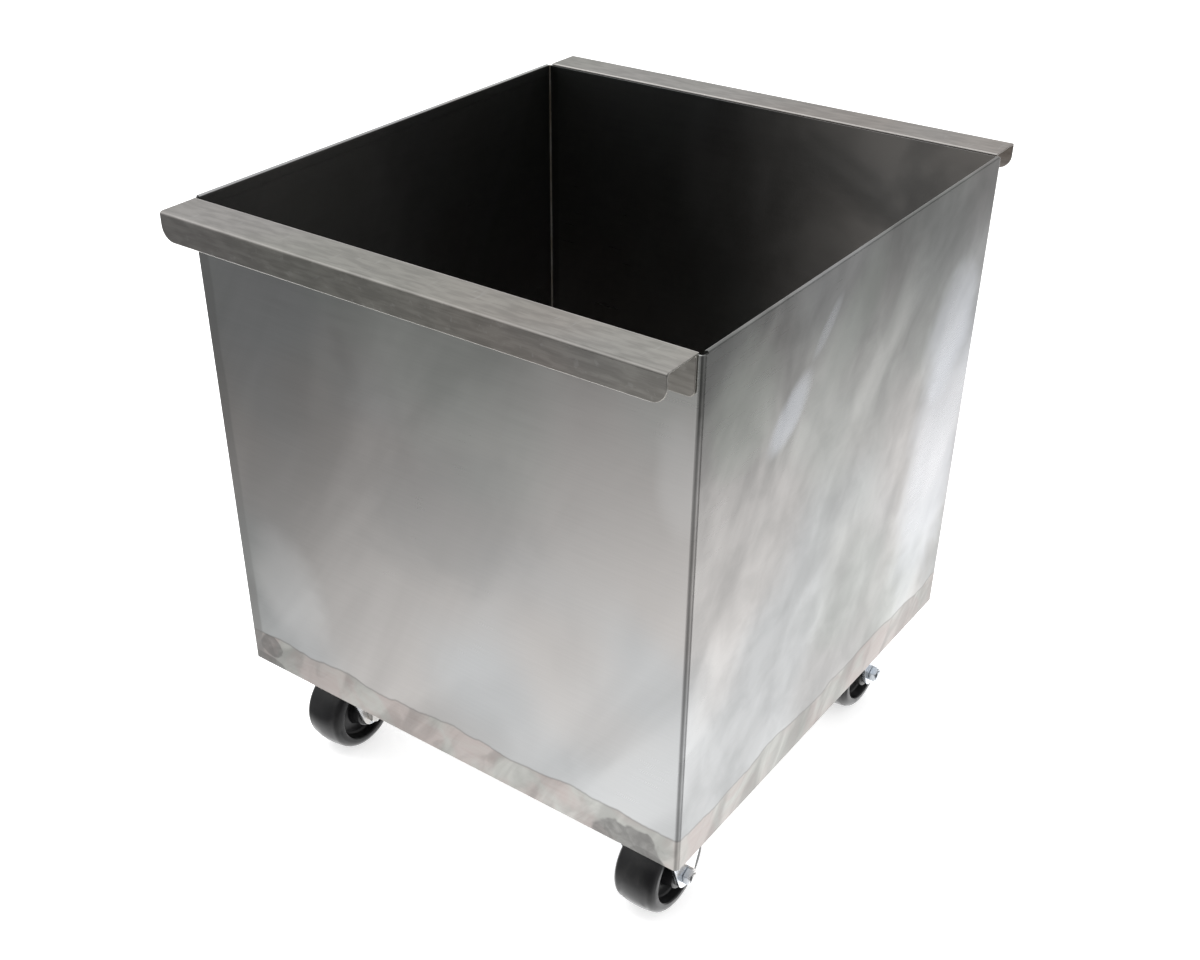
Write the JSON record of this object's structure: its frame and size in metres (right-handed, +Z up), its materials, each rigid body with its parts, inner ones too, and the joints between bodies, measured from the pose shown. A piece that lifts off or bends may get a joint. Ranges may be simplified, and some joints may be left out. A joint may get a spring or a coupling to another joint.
{
  "type": "wheeled stainless tote",
  "caption": "Open-top square bin of stainless sheet with folded carrying lips along its front and rear rims, on rigid casters with hard wheels.",
  "frame": {"origin": "on the ground under the wheels, at the middle of the footprint", "axes": "+Z up, +X along the front wall, +Y from the front wall to the rear wall"},
  "size_m": [0.5588, 0.6328, 0.6657],
  "materials": {
    "stainless_sheet": "brushed satin sheet, smudged, with ground and heat-tinted weld zones",
    "zinc_steel": "bright zinc plate",
    "black_wheel": "hard black moulding, satin"
  },
  "bodies": {
    "tote": {"body_wrap": "stainless_sheet", "left_side_panel": "stainless_sheet", "floor_pan": "stainless_sheet", "front_lip": "stainless_sheet", "rear_lip": "stainless_sheet", "caster_frame_front_left": "zinc_steel", "axle_bolt_front_left": "zinc_steel", "axle_nut_front_left": "zinc_steel", "axle_sleeve_front_left": "zinc_steel", "mount_bolt_front_left_1": "zinc_steel", "mount_nut_front_left_1": "zinc_steel", "mount_bolt_front_left_2": "zinc_steel", "mount_nut_front_left_2": "zinc_steel", "mount_bolt_front_left_3": "zinc_steel", "mount_nut_front_left_3": "zinc_steel", "mount_bolt_front_left_4": "zinc_steel", "mount_nut_front_left_4": "zinc_steel", "caster_frame_front_right": "zinc_steel", "axle_bolt_front_right": "zinc_steel", "axle_nut_front_right": "zinc_steel", "axle_sleeve_front_right": "zinc_steel", "mount_bolt_front_right_1": "zinc_steel", "mount_nut_front_right_1": "zinc_steel", "mount_bolt_front_right_2": "zinc_steel", "mount_nut_front_right_2": "zinc_steel", "mount_bolt_front_right_3": "zinc_steel", "mount_nut_front_right_3": "zinc_steel", "mount_bolt_front_right_4": "zinc_steel", "mount_nut_front_right_4": "zinc_steel", "caster_frame_rear_left": "zinc_steel", "axle_bolt_rear_left": "zinc_steel", "axle_nut_rear_left": "zinc_steel", "axle_sleeve_rear_left": "zinc_steel", "mount_bolt_rear_left_1": "zinc_steel", "mount_nut_rear_left_1": "zinc_steel", "mount_bolt_rear_left_2": "zinc_steel", "mount_nut_rear_left_2": "zinc_steel", "mount_bolt_rear_left_3": "zinc_steel", "mount_nut_rear_left_3": "zinc_steel", "mount_bolt_rear_left_4": "zinc_steel", "mount_nut_rear_left_4": "zinc_steel", "caster_frame_rear_right": "zinc_steel", "axle_bolt_rear_right": "zinc_steel", "axle_nut_rear_right": "zinc_steel", "axle_sleeve_rear_right": "zinc_steel", "mount_bolt_rear_right_1": "zinc_steel", "mount_nut_rear_right_1": "zinc_steel", "mount_bolt_rear_right_2": "zinc_steel", "mount_nut_rear_right_2": "zinc_steel", "mount_bolt_rear_right_3": "zinc_steel", "mount_nut_rear_right_3": "zinc_steel", "mount_bolt_rear_right_4": "zinc_steel", "mount_nut_rear_right_4": "zinc_steel"},
    "front_left_wheel": {"wheel_front_left": "black_wheel"},
    "front_right_wheel": {"wheel_front_right": "black_wheel"},
    "rear_left_wheel": {"wheel_rear_left": "black_wheel"},
    "rear_right_wheel": {"wheel_rear_right": "black_wheel"}
  },
  "joints": [
    {"name": "front_left_wheel_spin", "type": "hinge", "parent": "tote", "child": "front_left_wheel", "pos_m": [-0.214, -0.203, 0.05075], "axis": [1, 0, 0], "continuous": true},
    {"name": "front_right_wheel_spin", "type": "hinge", "parent": "tote", "child": "front_right_wheel", "pos_m": [0.214, -0.203, 0.05075], "axis": [1, 0, 0], "continuous": true},
    {"name": "rear_left_wheel_spin", "type": "hinge", "parent": "tote", "child": "rear_left_wheel", "pos_m": [-0.214, 0.203, 0.05075], "axis": [1, 0, 0], "continuous": true},
    {"name": "rear_right_wheel_spin", "type": "hinge", "parent": "tote", "child": "rear_right_wheel", "pos_m": [0.214, 0.203, 0.05075], "axis": [1, 0, 0], "continuous": true}
  ]
}
